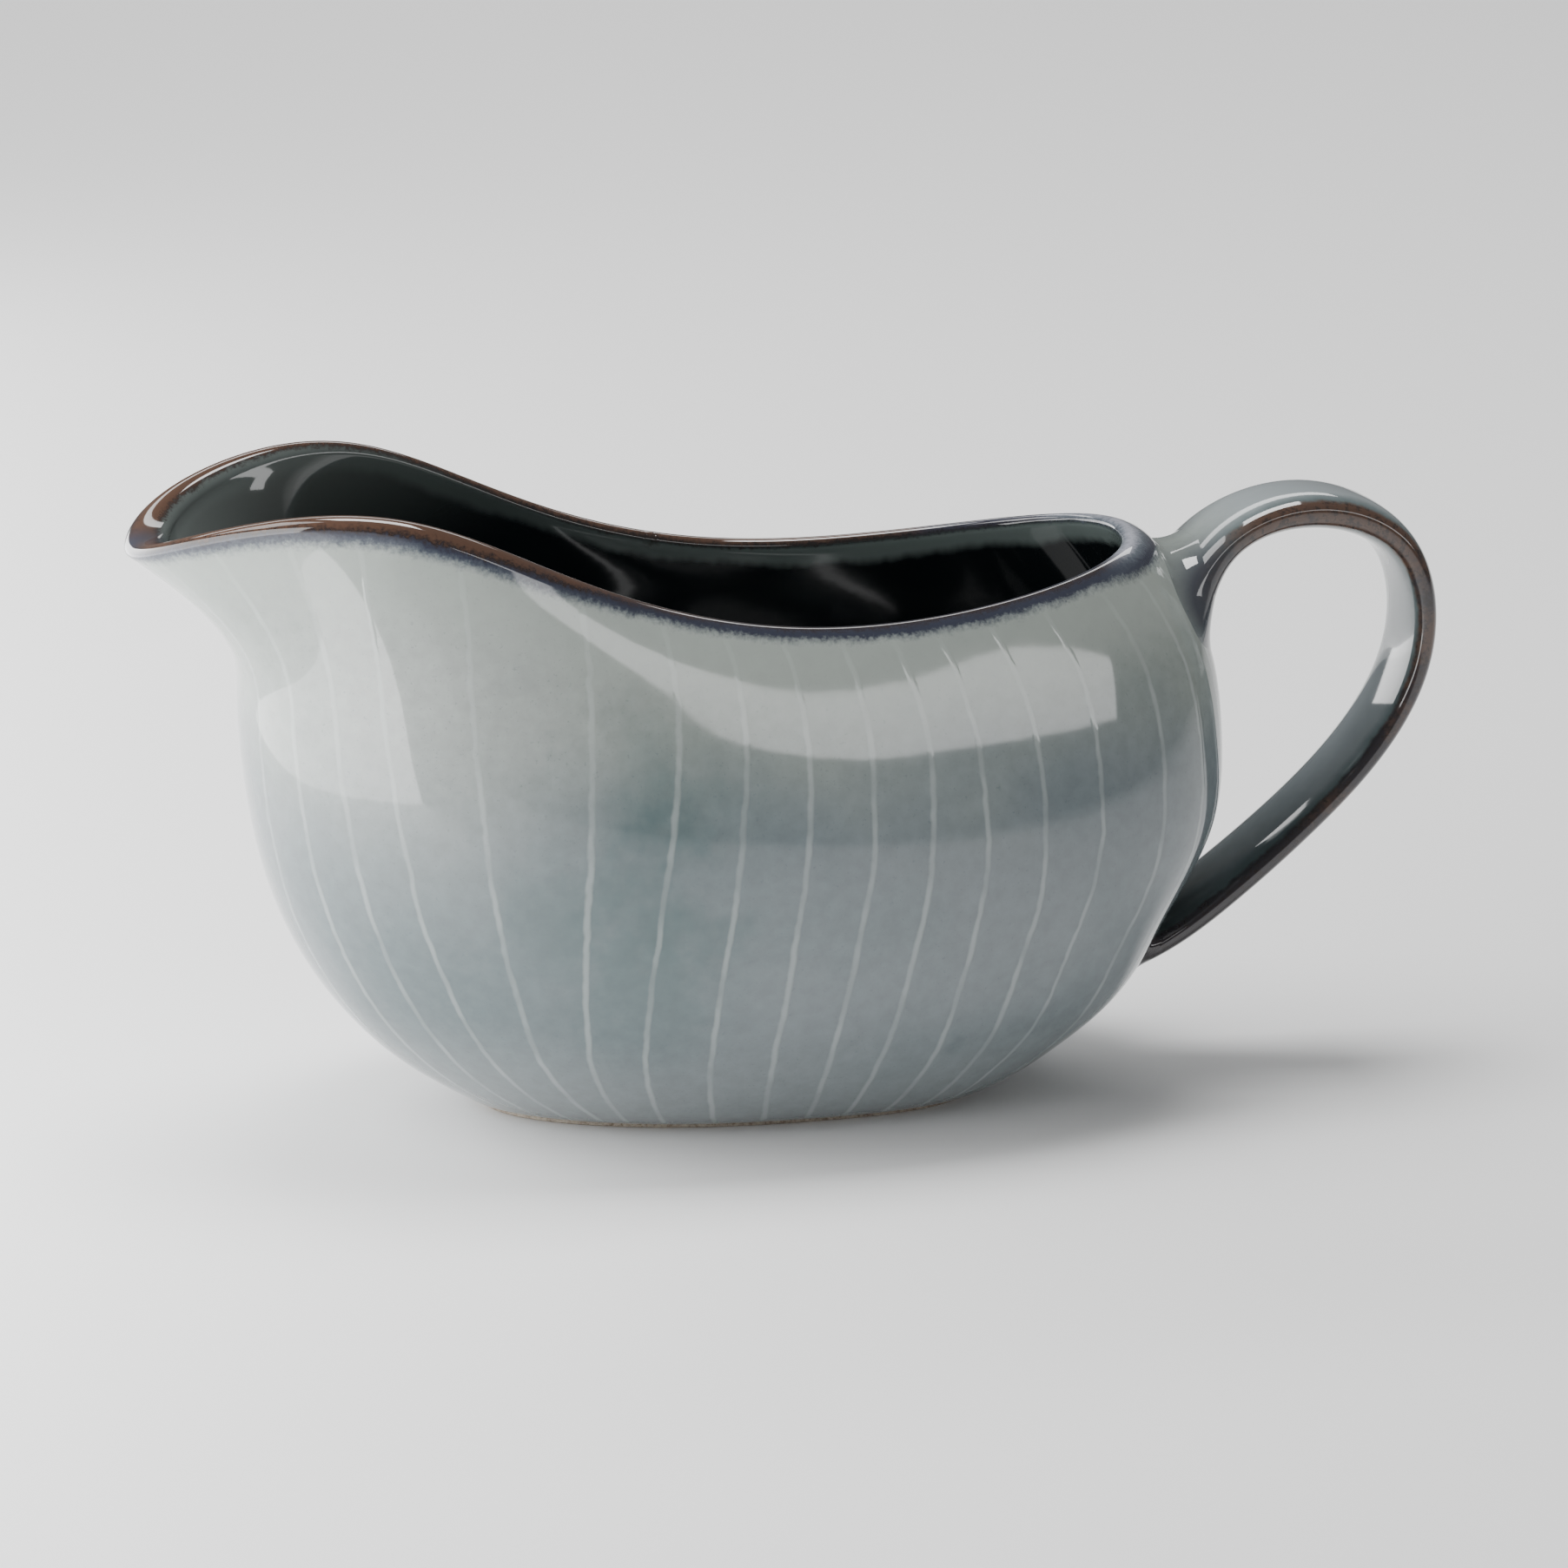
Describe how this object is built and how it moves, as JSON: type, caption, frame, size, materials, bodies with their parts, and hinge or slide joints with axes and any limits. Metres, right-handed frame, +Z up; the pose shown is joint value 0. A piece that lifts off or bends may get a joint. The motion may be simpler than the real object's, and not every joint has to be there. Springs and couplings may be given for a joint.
{
  "type": "gravy boat",
  "caption": "Slip-cast stoneware gravy boat: deep oval bowl with a raised pouring spout, a strap handle on luted slip joints and a bare clay foot ring.",
  "frame": {"origin": "on the surface that the boat stands on, under the middle of its length and width", "axes": "+Z up, +X towards the handle, -X towards the spout, the boat is the same on both sides of the XZ plane"},
  "size_m": [0.2016, 0.0856, 0.0986],
  "materials": {
    "bowl_glaze": "glossy reactive grey-green glaze, brown where it breaks over the lip",
    "handle_glaze": "glossy reactive grey-blue glaze, rust brown along both edges",
    "slip_glaze": "glossy reactive grey glaze over smoothed slip",
    "bare_clay": "matt unglazed stoneware, fine grit"
  },
  "bodies": {
    "root": {"bowl": "bowl_glaze", "handle": "handle_glaze", "upper_slip_joint": "slip_glaze", "lower_slip_joint": "slip_glaze", "foot_ring": "bare_clay"}
  },
  "joints": []
}
